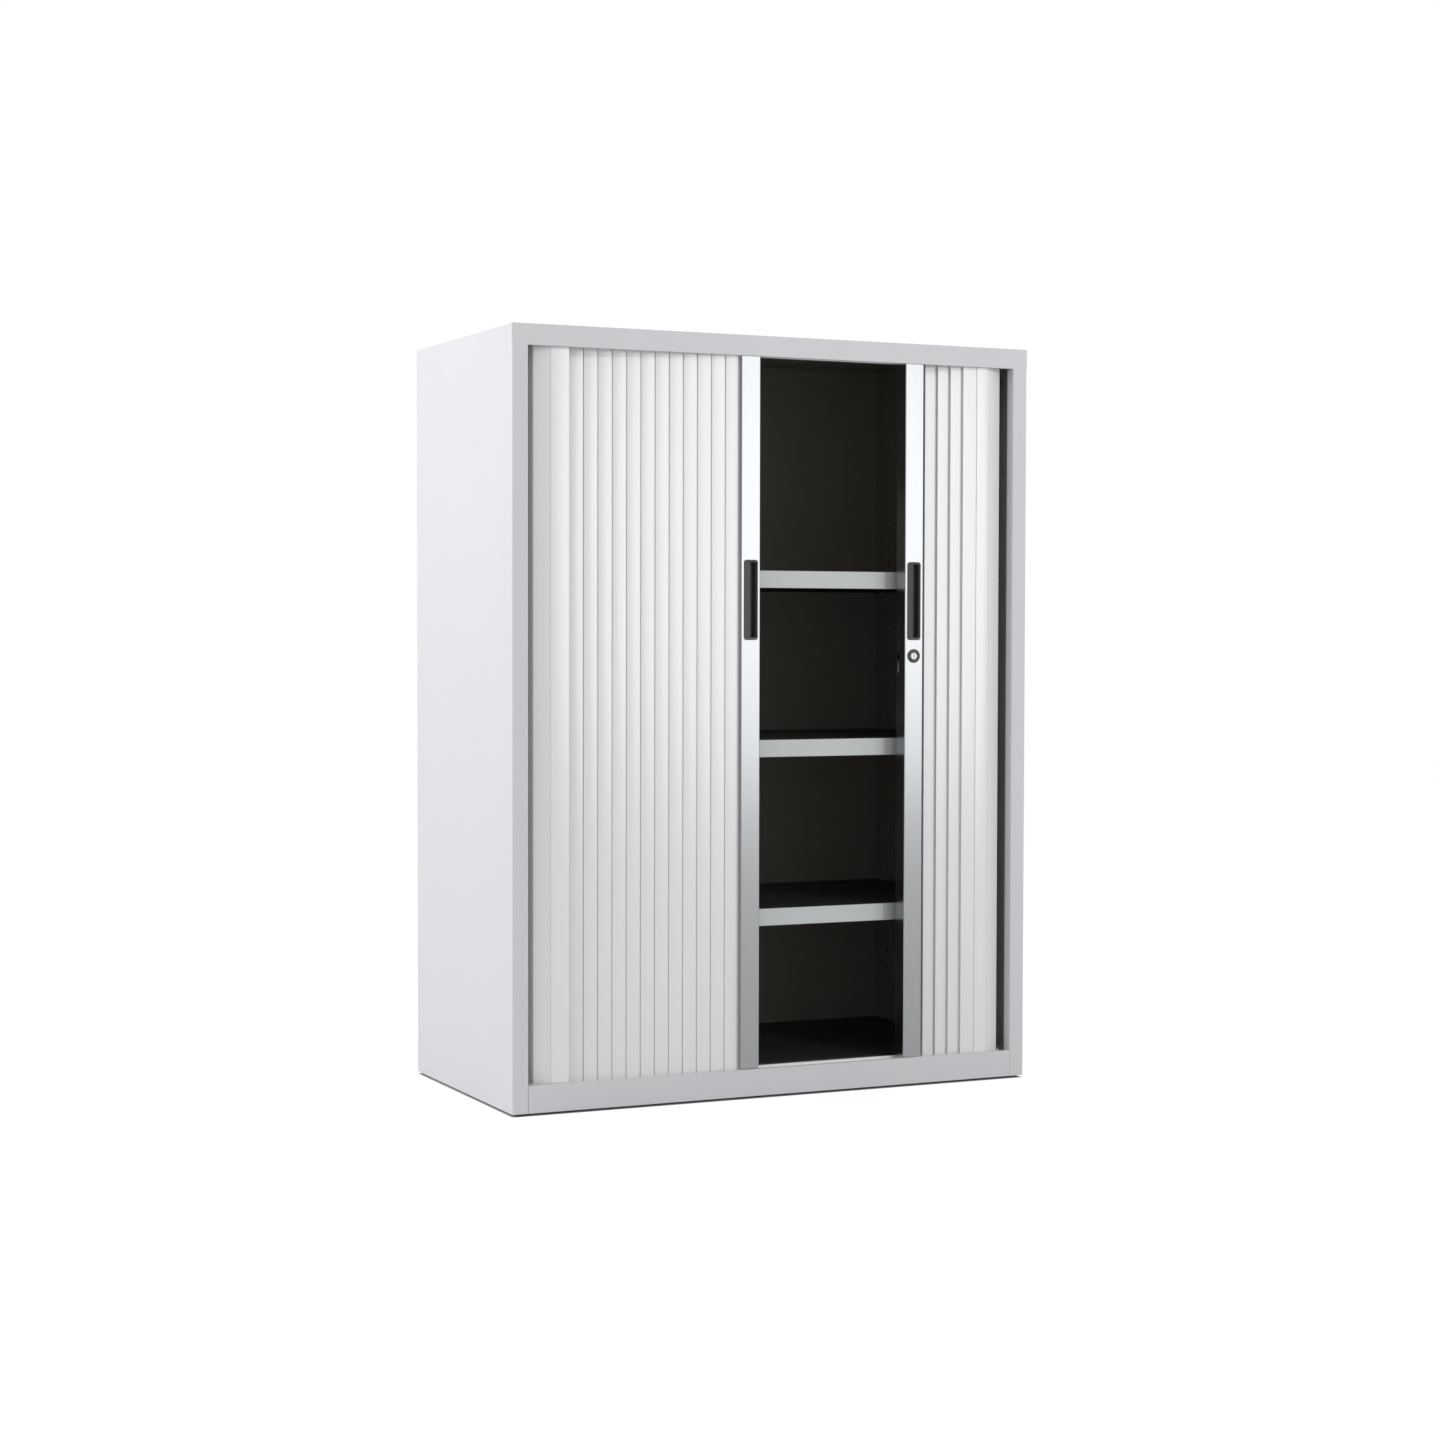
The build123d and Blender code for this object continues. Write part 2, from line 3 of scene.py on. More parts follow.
import bmesh
import bpy
from bpy.props import FloatProperty, FloatVectorProperty, IntProperty, PointerProperty
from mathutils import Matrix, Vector


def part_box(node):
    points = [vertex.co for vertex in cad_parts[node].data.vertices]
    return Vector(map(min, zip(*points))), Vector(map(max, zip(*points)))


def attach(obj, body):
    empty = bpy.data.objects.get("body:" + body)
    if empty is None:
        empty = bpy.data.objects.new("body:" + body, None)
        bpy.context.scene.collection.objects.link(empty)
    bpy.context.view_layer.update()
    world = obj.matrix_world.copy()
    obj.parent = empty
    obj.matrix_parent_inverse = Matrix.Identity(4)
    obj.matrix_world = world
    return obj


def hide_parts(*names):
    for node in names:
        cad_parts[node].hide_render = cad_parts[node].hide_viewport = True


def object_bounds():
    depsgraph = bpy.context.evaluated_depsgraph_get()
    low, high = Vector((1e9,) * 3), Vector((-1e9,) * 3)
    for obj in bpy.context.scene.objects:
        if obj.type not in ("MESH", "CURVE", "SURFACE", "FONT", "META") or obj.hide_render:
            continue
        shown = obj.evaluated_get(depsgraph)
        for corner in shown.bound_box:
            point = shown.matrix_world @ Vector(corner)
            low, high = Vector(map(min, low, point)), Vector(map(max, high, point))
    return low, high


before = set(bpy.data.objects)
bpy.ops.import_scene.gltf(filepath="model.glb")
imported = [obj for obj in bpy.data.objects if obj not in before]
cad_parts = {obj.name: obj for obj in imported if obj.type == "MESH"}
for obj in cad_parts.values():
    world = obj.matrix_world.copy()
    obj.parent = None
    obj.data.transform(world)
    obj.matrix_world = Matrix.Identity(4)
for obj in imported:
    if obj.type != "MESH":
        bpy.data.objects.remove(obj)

bl_info = {
    "name": "Tambour door cabinet",
    "version": (1, 0, 0),
    "blender": (4, 5, 0),
    "location": "View3D > Sidebar > Tambour",
    "description": "Dresses the frame of a steel cupboard with two slatted curtain doors",
    "category": "Object",
}

# The frame is in metres, with Z up and the front towards -Y.
MM = 0.001
CAD_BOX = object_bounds()

# Curtains
SLATS_A_DOOR = 12
LEFT_STRIP_WIDTH = 30 * MM
REAR_STRIP_DEPTH = 22.1 * MM

# Sockets of a Mix node that mixes colours
MIX_FACTOR = 0
MIX_FIRST = 6
MIX_SECOND = 7
MIX_RESULT = 2

# The middle of a noise's range, where most of its values lie
NOISE_LOW = 0.3
NOISE_HIGH = 0.7

# The angle between two faces past which their edge is sharp, for meshes that are built here in
# degrees and for what Geometry Nodes make in radians
SHARP_DEGREES = 35.0
SHARP_RADIANS = 0.5

WHITE = (1, 1, 1, 1)


def linear(code):
    """An sRGB hex colour as linear red, green and blue."""
    parts = [int(code[place:place + 2], 16) / 255 for place in (1, 3, 5)]
    return tuple(p / 12.92 if p <= 0.04045 else ((p + 0.055) / 1.055) ** 2.4 for p in parts)


def colour(name, code, description):
    """A colour property with its default as an sRGB hex value."""
    return FloatVectorProperty(
        name=name, description=description, default=linear(code), subtype="COLOR", size=3, min=0, max=1
    )


def length(name, millimetres, description):
    """A length property with its default in millimetres."""
    return FloatProperty(
        name=name, description=description, default=millimetres * MM, unit="LENGTH", min=0
    )


# Settings
class CabinetSettings(bpy.types.PropertyGroup):
    """Finishes and small sizes of the cupboard."""

    casing_colour: colour("Casing", "#D0D1D4", "Powder coat of the casing")
    inside_colour: colour("Inside", "#8A847C", "Powder coat of the inner walls and the back's inner face")
    tray_colour: colour("Trays", "#242424", "Powder coat of the shelves and the floor liner")
    shelf_colour: colour("Shelf fronts", "#C2C6C6", "Powder coat of the shelves' front edges")
    slat_colour: colour("Slats", "#E5E5E7", "Lacquer of the curtain slats")
    bar_colour: colour("Leading bars", "#A0A2A4", "Anodised aluminium of the leading bars")
    grip_colour: colour("Grips", "#2E3134", "Moulded plastic of the grips and the lock's ring")
    slat_depth: length("Slat depth", 1.4, "Depth of a slat over all")
    slat_relief: length("Slat relief", 0.5, "How far a slat's edges turn back")
    nested_relief: length(
        "Nested slat relief", 0.15, "The same for the right door's slats, which nest in threes"
    )
    slat_crest: FloatProperty(
        name="Slat crest", description="Where a slat stands foremost, as a share of its width",
        default=0.4, min=0.1, max=0.7,
    )
    slat_hollow: FloatProperty(
        name="Slat hollow",
        description="How far the side before the crest falls back, as a share of the relief",
        default=1.0, min=0, max=1,
    )
    slat_lap: FloatProperty(
        name="Slat lap", description="Share of a slat's width under the next slat",
        default=0.2, min=0, max=0.5,
    )
    corner_radius: length("Corner radius", 35.0, "Radius of the curtain's path round a front corner")
    slat_steps: IntProperty(
        name="Slat steps", description="Faces across a slat", default=24, min=4, max=64
    )


class StageSettings(bpy.types.PropertyGroup):
    """Camera and light."""

    camera_place: FloatVectorProperty(
        name="Camera place", description="Where the camera stands",
        default=(-1.87115, -4.01597, 0.73679), subtype="TRANSLATION", unit="LENGTH", size=3,
    )
    azimuth: FloatProperty(
        name="Azimuth", description="Camera heading, from +Y towards +X", default=0.436, unit="ROTATION"
    )
    elevation: FloatProperty(
        name="Elevation", description="Camera pitch", default=-0.033, unit="ROTATION"
    )
    roll: FloatProperty(name="Roll", description="Camera roll", default=0.002, unit="ROTATION")
    lens: FloatProperty(name="Lens", description="Focal length", default=66.98, unit="CAMERA")
    key_power: FloatProperty(
        name="Key light", description="Small high lamp on the right", default=31.0, unit="POWER"
    )
    disc_power: FloatProperty(
        name="Disc light", description="Large lamp that the slats mirror", default=13.0, unit="POWER"
    )
    side_power: FloatProperty(
        name="Side light", description="Lamp on the left", default=70.0, unit="POWER"
    )
    ambient: FloatProperty(
        name="Ambient", description="Strength of the world's even light", default=0.62, min=0
    )
    floor_colour: colour("Floor", "#CECECE", "Matt studio floor")


# Shader and geometry nodes
def add_node(tree, kind, inputs=None, **settings):
    """Adds one node, sets its properties, and gives each input its value or its link."""
    made = tree.nodes.new(kind)
    for name, value in settings.items():
        setattr(made, name, value)
    for key, given in (inputs or {}).items():
        if isinstance(given, bpy.types.NodeSocket):
            tree.links.new(given, made.inputs[key])
        else:
            made.inputs[key].default_value = given
    return made


def new_material(name, shader_values):
    """A material whose plain values sit on the shader's own sockets."""
    material = bpy.data.materials.new(name)
    material.use_nodes = True
    shader = material.node_tree.nodes["Principled BSDF"]
    for key, value in shader_values.items():
        shader.inputs[key].default_value = value
    return material, material.node_tree, shader


def pattern(tree, size_mm, upright=1.0, kind="ShaderNodeTexNoise", output="Fac"):
    """A pattern in object space whose lumps are about size_mm across.

    upright is its scale along Z. Far under 1 it draws the lumps out into upright lines.
    """
    place = add_node(tree, "ShaderNodeTexCoord").outputs["Object"]
    place = add_node(tree, "ShaderNodeMapping", {"Vector": place, "Scale": (1, 1, upright)}).outputs[0]
    return add_node(tree, kind, {"Vector": place, "Scale": 1 / (size_mm * MM)}).outputs[output]


def texture(tree, shader, tone, roughness=None, relief=None):
    """Gives a shader patterns in its colour, its roughness and its relief.

    tone is a pattern and the two colours it mixes. roughness is a pattern and the two values that
    the middle of its range is spread over. relief is a pattern and its depth in millimetres.
    """
    source, first, second = tone
    colours = {MIX_FACTOR: source, MIX_FIRST: (*first, 1), MIX_SECOND: (*second, 1)}
    mixed = add_node(tree, "ShaderNodeMix", colours, data_type="RGBA").outputs[MIX_RESULT]
    tree.links.new(mixed, shader.inputs["Base Color"])
    if roughness:
        source, low, high = roughness
        ends = {"From Min": NOISE_LOW, "From Max": NOISE_HIGH, "To Min": low, "To Max": high}
        spread = add_node(tree, "ShaderNodeMapRange", {"Value": source, **ends}).outputs[0]
        tree.links.new(spread, shader.inputs["Roughness"])
    if relief:
        height, depth_mm = relief
        shape = {"Height": height, "Strength": 1.0, "Distance": depth_mm * MM}
        bump = add_node(tree, "ShaderNodeBump", shape).outputs[0]
        tree.links.new(bump, shader.inputs["Normal"])
    return mixed


def shade(given, factor):
    """A colour made lighter or darker."""
    return tuple(min(1.0, part * factor) for part in given)


def inside_box(tree, low, high):
    """One inside a box of the frame, nought outside it."""
    middle = [(a + b) / 2 for a, b in zip(low, high)]
    half = [(b - a) / 2 for a, b in zip(low, high)]
    place = add_node(tree, "ShaderNodeTexCoord").outputs["Object"]
    away = add_node(tree, "ShaderNodeVectorMath", {0: place, 1: middle}, operation="SUBTRACT").outputs[0]
    away = add_node(tree, "ShaderNodeVectorMath", {0: away}, operation="ABSOLUTE").outputs[0]
    over = add_node(tree, "ShaderNodeVectorMath", {0: away, 1: half}, operation="SUBTRACT").outputs[0]
    x, y, z = add_node(tree, "ShaderNodeSeparateXYZ", {0: over}).outputs
    most = add_node(tree, "ShaderNodeMath", {0: x, 1: y}, operation="MAXIMUM").outputs[0]
    most = add_node(tree, "ShaderNodeMath", {0: most, 1: z}, operation="MAXIMUM").outputs[0]
    return add_node(tree, "ShaderNodeMath", {0: most, 1: 0.0}, operation="LESS_THAN").outputs[0]


# Materials
def powder_coated_steel(name, base, inner=None):
    """Polyester powder coat on folded sheet steel, sprayed and baked.

    It gives an even satin face whose highlights break up softly over the orange peel. The peel's
    real lumps are 1 to 2 mm, drawn here at 4 mm so that they show. With inner, what lies inside
    the compartments has the inside's darker coat.
    """
    material, tree, shader = new_material(name, {"Roughness": 0.45})
    coat = texture(
        tree, shader,
        tone=(pattern(tree, 260), shade(base, 0.975), shade(base, 1.015)),
        roughness=(pattern(tree, 90), 0.42, 0.5),
        relief=(pattern(tree, 4.0), 0.02),
    )
    if inner:
        inside = inside_box(tree, *compartment_box())
        coats = {MIX_FACTOR: inside, MIX_FIRST: coat, MIX_SECOND: (*inner, 1)}
        coat = add_node(tree, "ShaderNodeMix", coats, data_type="RGBA").outputs[MIX_RESULT]
        tree.links.new(coat, shader.inputs["Base Color"])
    return material


def lacquered_pvc(name, base):
    """Extruded PVC slat with a pearl lacquer.

    The lacquer's mica gives the slats a broad soft sheen. The extrusion leaves faint upright
    lines, under 1 mm apart and drawn at 1.5 mm.
    """
    material, tree, shader = new_material(name, {"Metallic": 0.1, "Roughness": 0.22})
    lines = pattern(tree, 1.5, upright=0.004)
    texture(
        tree, shader,
        tone=(pattern(tree, 30, upright=0.1), shade(base, 0.985), shade(base, 1.01)),
        roughness=(lines, 0.2, 0.25),
        relief=(lines, 0.004),
    )
    return material


def anodised_aluminium(name, base):
    """Extruded aluminium, etched and clear anodised.

    A satin metal with very fine upright lines, which stretch a highlight across the bar. The real
    lines are 0.1 mm apart and are drawn at 0.8 mm.
    """
    material, tree, shader = new_material(name, {"Metallic": 1.0, "Roughness": 0.22})
    lines = pattern(tree, 0.8, upright=0.003)
    texture(
        tree, shader,
        tone=(lines, shade(base, 0.96), shade(base, 1.04)),
        roughness=(lines, 0.2, 0.25),
        relief=(lines, 0.003),
    )
    return material


def moulded_abs(name, base):
    """Injection-moulded ABS with a fine spark-eroded grain.

    Dark, with a soft sheen on flat faces. The grain is 0.2 mm and is drawn at 0.6 mm.
    """
    material, tree, shader = new_material(name, {"Roughness": 0.38, "IOR": 1.53})
    grain = pattern(tree, 0.6)
    texture(
        tree, shader,
        tone=(pattern(tree, 12), shade(base, 0.85), shade(base, 1.2)),
        roughness=(grain, 0.33, 0.43),
        relief=(grain, 0.02),
    )
    return material


def nickel_plate(name, base):
    """Nickel-plated zinc casting, polished: a warm bright metal whose shine varies over half a millimetre."""
    material, tree, shader = new_material(name, {"Metallic": 1.0, "Roughness": 0.2})
    texture(
        tree, shader,
        tone=(pattern(tree, 2.0), shade(base, 0.9), base),
        roughness=(pattern(tree, 0.5), 0.16, 0.26),
    )
    return material


def zinc_plate(name, base):
    """Bright zinc plate on pressed steel: bluish, with the crystals' patches about 4 mm across."""
    material, tree, shader = new_material(name, {"Metallic": 1.0, "Roughness": 0.35})
    patches = pattern(tree, 4, kind="ShaderNodeTexVoronoi", output="Color")
    texture(
        tree, shader,
        tone=(patches, shade(base, 0.88), base),
        roughness=(pattern(tree, 1.2), 0.28, 0.42),
    )
    return material


def pale_nylon(name, base):
    """Natural nylon or PVC, moulded or extruded: milky, with a dull sheen and slight clouding."""
    material, tree, shader = new_material(name, {"Roughness": 0.5, "IOR": 1.53})
    texture(
        tree, shader,
        tone=(pattern(tree, 9), shade(base, 0.94), base),
        relief=(pattern(tree, 0.8), 0.01),
    )
    return material


def black_rubber(name, base):
    """Moulded rubber: nearly matt black, with paler dusty patches."""
    material, tree, shader = new_material(name, {"Roughness": 0.75})
    texture(
        tree, shader,
        tone=(pattern(tree, 6), base, linear("#262626")),
        relief=(pattern(tree, 1.0), 0.03),
    )
    return material


finishes = {}


def finish(name):
    """The material of a slot of the record, of the trays or of rubber, made when it is first asked for."""
    if name in finishes:
        return finishes[name]
    cabinet = bpy.context.scene.cabinet
    makers = {
        "casing_enamel": (
            powder_coated_steel, "powder_coat_casing", cabinet.casing_colour, cabinet.inside_colour
        ),
        "interior_black": (powder_coated_steel, "powder_coat_inside", cabinet.inside_colour),
        "trays": (powder_coated_steel, "powder_coat_trays", cabinet.tray_colour),
        "shelf_edge": (powder_coated_steel, "powder_coat_shelf_fronts", cabinet.shelf_colour),
        "slat_plastic": (lacquered_pvc, "lacquered_pvc_slats", cabinet.slat_colour),
        "bar_enamel": (anodised_aluminium, "anodised_aluminium_bars", cabinet.bar_colour),
        "black_plastic": (moulded_abs, "moulded_abs_grips", cabinet.grip_colour),
        "nickel": (nickel_plate, "nickel_plate_lock", linear("#A6A4A0")),
        "zinc_steel": (zinc_plate, "zinc_plate_fixings", linear("#B9BCC0")),
        "track_plastic": (pale_nylon, "extruded_pvc_tracks", linear("#F0F0EE")),
        "glide_nylon": (pale_nylon, "nylon_glides", linear("#E2E0DA")),
        "rubber": (black_rubber, "rubber_feet", linear("#161616")),
    }
    maker, *given = makers[name]
    finishes[name] = maker(*given)
    return finishes[name]


# Pieces
def compartment_box():
    """The space inside the inner walls, from behind the tracks to half way through the back's sheet."""
    track_depth = 28 * MM
    above_base = 1 * MM
    below_top = 0.6 * MM
    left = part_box("inner_wall_left")[0].x
    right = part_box("inner_wall_right")[1].x
    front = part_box("track_top")[0].y + track_depth
    back_low, back_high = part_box("back_panel")
    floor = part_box("base_panel")[1].z + above_base
    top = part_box("top_panel")[1].z - below_top
    return (left, front, floor), (right, (back_low.y + back_high.y) / 2, top)


def dress_node(node, slot):
    """Gives a CAD node the finish of its slot."""
    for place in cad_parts[node].material_slots:
        place.material = finish(slot)


def add_piece(name, mesh, body, slot, nodes):
    """Puts a finished mesh in the scene, on its body and in place of its CAD nodes."""
    piece = bpy.data.objects.new(name, mesh)
    bpy.context.scene.collection.objects.link(piece)
    if not mesh.materials:
        mesh.materials.append(finish(slot))
    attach(piece, body)
    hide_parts(*nodes)
    # The record has no slot for rubber, so that counts as black plastic.
    return piece


def skin(rings, name, endless=False):
    """A closed mesh through rings of points. Its two ends are faces, or meet where it is endless."""
    shape = bmesh.new()
    rows = [[shape.verts.new(point) for point in ring] for ring in rings]
    following = rows[1:] + rows[:1] if endless else rows[1:]
    for here, there in zip(rows, following):
        for place in range(len(here)):
            after = (place + 1) % len(here)
            shape.faces.new((here[place], here[after], there[after], there[place]))
    if not endless:
        shape.faces.new(rows[0])
        shape.faces.new(rows[-1])
    bmesh.ops.recalc_face_normals(shape, faces=shape.faces)
    return finished_mesh(shape, name)


def joined(meshes, name):
    """Several meshes as one, with the first material slot of the first."""
    shape = bmesh.new()
    for mesh in meshes:
        shape.from_mesh(mesh)
    result = finished_mesh(shape, name)
    result.materials.append(meshes[0].materials[0])
    return result


def finished_mesh(shape, name):
    """A mesh from a bmesh, smooth except where its faces meet sharply."""
    for face in shape.faces:
        face.smooth = True
    for edge in shape.edges:
        if len(edge.link_faces) == 2:
            edge.smooth = edge.calc_face_angle() < math.radians(SHARP_DEGREES)
    mesh = bpy.data.meshes.new(name)
    shape.to_mesh(mesh)
    shape.free()
    return mesh


def path_object(name, points):
    """A line of points as a mesh, for a Geometry Nodes tree to follow."""
    mesh = bpy.data.meshes.new(name)
    mesh.from_pydata(points, [(place, place + 1) for place in range(len(points) - 1)], [])
    path = bpy.data.objects.new(name, mesh)
    bpy.context.scene.collection.objects.link(path)
    return path


def grow(path, tree, values):
    """The plain mesh that a Geometry Nodes tree makes from a path, which is then removed."""
    modifier = path.modifiers.new("Shape", "NODES")
    modifier.node_group = tree
    for item in tree.interface.items_tree:
        if item.in_out == "INPUT" and item.name in values:
            modifier[item.identifier] = values[item.name]
    bpy.context.view_layer.update()
    grown = path.evaluated_get(bpy.context.evaluated_depsgraph_get())
    mesh = bpy.data.meshes.new_from_object(grown)
    mesh.name = path.name
    bpy.data.objects.remove(path)
    return mesh


def new_tree(name, counts, sizes):
    """A Geometry Nodes tree that takes a path, counts, sizes and a finish, with its inputs and its end."""
    tree = bpy.data.node_groups.new(name, "GeometryNodeTree")
    kinds = {"Path": "Geometry"}
    kinds.update(dict.fromkeys(counts, "Int"))
    kinds.update(dict.fromkeys(sizes, "Float"))
    kinds["Finish"] = "Material"
    for label, kind in kinds.items():
        tree.interface.new_socket(label, in_out="INPUT", socket_type=f"NodeSocket{kind}")
    tree.interface.new_socket("Mesh", in_out="OUTPUT", socket_type="NodeSocketGeometry")
    return tree, add_node(tree, "NodeGroupInput").outputs, add_node(tree, "NodeGroupOutput")


# The sums that shape a slat. Each has a name for its result, the operation, and what goes in: an
# input of the tree, the grid's X or Y, an earlier result or a number.
SLAT_SUMS = (
    ("from middle", "DIVIDE", "X", "Width"),
    ("share", "MULTIPLY_ADD", "from middle", "Edge side", 0.5),
    ("seen", "SUBTRACT", 1.0, "Lap"),
    ("seen past crest", "SUBTRACT", "seen", "Crest"),
    ("past crest", "SUBTRACT", "share", "Crest"),
    ("past crest", "MAXIMUM", "past crest", 0.0),
    ("past crest", "DIVIDE", "past crest", "seen past crest"),
    ("past crest", "MINIMUM", "past crest", 1.0),
    ("fall past crest", "POWER", "past crest", 2.0),
    ("short of crest", "SUBTRACT", "Crest", "share"),
    ("short of crest", "MAXIMUM", "short of crest", 0.0),
    ("short of crest", "DIVIDE", "short of crest", "Crest"),
    ("fall short of crest", "POWER", "short of crest", 2.0),
    ("fall short of crest", "MULTIPLY", "fall short of crest", "Hollow"),
    ("fall", "ADD", "fall past crest", "fall short of crest"),
    ("back", "MULTIPLY_ADD", "fall", "Relief", "Wall"),
    ("up", "MULTIPLY_ADD", "Height", 0.5, "Y"),
)


def slat_sheet(tree, given):
    """The back face of one slat: a grid turned upright, which falls back on both sides of its crest."""
    size = {"Size X": given["Width"], "Size Y": given["Height"]}
    counts = {"Vertices X": given["Steps"], "Vertices Y": 2}
    grid = add_node(tree, "GeometryNodeMeshGrid", {**size, **counts}).outputs["Mesh"]
    place = add_node(tree, "GeometryNodeInputPosition").outputs[0]
    x, y = add_node(tree, "ShaderNodeSeparateXYZ", {0: place}).outputs[:2]
    known = {socket.name: socket for socket in given}
    known.update({"X": x, "Y": y})
    for result, operation, *parts in SLAT_SUMS:
        inputs = {number: known.get(part, part) for number, part in enumerate(parts)}
        known[result] = add_node(tree, "ShaderNodeMath", inputs, operation=operation).outputs[0]
    upright = add_node(tree, "ShaderNodeCombineXYZ", {0: x, 1: known["back"], 2: known["up"]}).outputs[0]
    return add_node(tree, "GeometryNodeSetPosition", {"Geometry": grid, "Position": upright}).outputs[0]


def slat_tree():
    """Slats standing evenly along a path, with their faces to its right as seen from above."""
    weld = 0.01 * MM
    sizes = ("Width", "Height", "Relief", "Wall", "Edge side", "Crest", "Hollow", "Lap")
    tree, given, result = new_tree("Tambour slats", ("Slats", "Steps"), sizes)
    sheet = slat_sheet(tree, given)
    forward = add_node(tree, "ShaderNodeCombineXYZ", {1: -1.0}).outputs[0]
    front = add_node(
        tree, "GeometryNodeExtrudeMesh",
        {"Mesh": sheet, "Offset": forward, "Offset Scale": given["Wall"], "Individual": False},
    ).outputs["Mesh"]
    back = add_node(tree, "GeometryNodeFlipFaces", {"Mesh": sheet}).outputs[0]
    join = add_node(tree, "GeometryNodeJoinGeometry", {0: front})
    tree.links.new(back, join.inputs[0])
    slat = add_node(
        tree, "GeometryNodeMergeByDistance", {"Geometry": join.outputs[0], "Distance": weld}
    ).outputs[0]
    curve = add_node(tree, "GeometryNodeMeshToCurve", {"Mesh": given["Path"]}).outputs[0]
    index = add_node(tree, "GeometryNodeInputIndex").outputs[0]
    middle = add_node(tree, "ShaderNodeMath", {0: index, 1: 0.5}, operation="ADD").outputs[0]
    share = add_node(
        tree, "ShaderNodeMath", {0: middle, 1: given["Slats"]}, operation="DIVIDE"
    ).outputs[0]
    sample = add_node(
        tree, "GeometryNodeSampleCurve", {"Curves": curve, "Factor": share}, mode="FACTOR"
    ).outputs
    points = add_node(tree, "GeometryNodePoints", {"Count": given["Slats"]}).outputs[0]
    points = add_node(
        tree, "GeometryNodeSetPosition", {"Geometry": points, "Position": sample["Position"]}
    ).outputs[0]
    turn = add_node(
        tree, "FunctionNodeAlignRotationToVector", {"Vector": sample["Tangent"]}, axis="X", pivot_axis="Z"
    ).outputs[0]
    placed = add_node(
        tree, "GeometryNodeInstanceOnPoints", {"Points": points, "Instance": slat, "Rotation": turn}
    ).outputs[0]
    finish_tree(tree, placed, given["Finish"], result)
    return tree


def rivet_tree():
    """Pop rivets along a line, each a flattened ball whose crest touches the line."""
    tree, given, result = new_tree("Rivet column", ("Rivets",), ("Head radius", "Head height"))
    ball = add_node(
        tree, "GeometryNodeMeshUVSphere", {"Segments": 24, "Rings": 12, "Radius": 1.0}
    ).outputs["Mesh"]
    size = add_node(
        tree, "ShaderNodeCombineXYZ",
        {0: given["Head radius"], 1: given["Head height"], 2: given["Head radius"]},
    ).outputs[0]
    sunk = add_node(
        tree, "ShaderNodeMath", {0: given["Head height"], 1: -1.0}, operation="MULTIPLY"
    ).outputs[0]
    shift = add_node(tree, "ShaderNodeCombineXYZ", {1: sunk}).outputs[0]
    head = add_node(
        tree, "GeometryNodeTransform", {"Geometry": ball, "Translation": shift, "Scale": size}
    ).outputs[0]
    curve = add_node(tree, "GeometryNodeMeshToCurve", {"Mesh": given["Path"]}).outputs[0]
    points = add_node(
        tree, "GeometryNodeCurveToPoints", {"Curve": curve, "Count": given["Rivets"]}, mode="COUNT"
    ).outputs[0]
    placed = add_node(tree, "GeometryNodeInstanceOnPoints", {"Points": points, "Instance": head}).outputs[0]
    finish_tree(tree, placed, given["Finish"], result)
    return tree


def finish_tree(tree, instances, material, result):
    """Realises the instances, smooths them except at their edges and sets the material."""
    real = add_node(tree, "GeometryNodeRealizeInstances", {0: instances}).outputs[0]
    faces = {0: real, "Shade Smooth": True}
    smooth = add_node(tree, "GeometryNodeSetShadeSmooth", faces, domain="FACE").outputs[0]
    angle = add_node(tree, "GeometryNodeInputMeshEdgeAngle").outputs["Unsigned Angle"]
    sharp = add_node(
        tree, "ShaderNodeMath", {0: angle, 1: SHARP_RADIANS}, operation="GREATER_THAN"
    ).outputs[0]
    edges = {0: smooth, "Selection": sharp, "Shade Smooth": False}
    smooth = add_node(tree, "GeometryNodeSetShadeSmooth", edges, domain="EDGE").outputs[0]
    done = add_node(
        tree, "GeometryNodeSetMaterial", {"Geometry": smooth, "Material": material}
    ).outputs[0]
    tree.links.new(done, result.inputs[0])


def slat_mesh(tree, name, points, slats, width, height, side, relief, lap=0.0):
    """Slats of one run of the curtain as a plain mesh."""
    cabinet = bpy.context.scene.cabinet
    values = {
        "Slats": slats,
        "Steps": cabinet.slat_steps + 1,
        "Width": width,
        "Height": height,
        "Relief": relief,
        "Wall": cabinet.slat_depth - relief,
        "Edge side": side,
        "Crest": cabinet.slat_crest,
        "Hollow": cabinet.slat_hollow,
        "Lap": lap,
        "Finish": finish("slat_plastic"),
    }
    return grow(path_object(name, points), tree, values)


def rounded_ring(middle, half_x, half_z, radius, y, steps=6):
    """A rounded rectangle of points in an upright plane. y is a depth, or a function of x."""
    ring = []
    for corner, (side_x, side_z) in enumerate(((1, 1), (-1, 1), (-1, -1), (1, -1))):
        for step in range(steps + 1):
            angle = math.pi / 2 * (corner + step / steps)
            x = middle.x + side_x * (half_x - radius) + radius * math.cos(angle)
            z = middle.z + side_z * (half_z - radius) + radius * math.sin(angle)
            ring.append((x, y(x) if callable(y) else y, z))
    return ring


def circle(radius, steps):
    """Points round a circle, as pairs of distances from its middle."""
    angles = [2 * math.pi * step / steps for step in range(steps)]
    return [(radius * math.cos(a), radius * math.sin(a)) for a in angles]


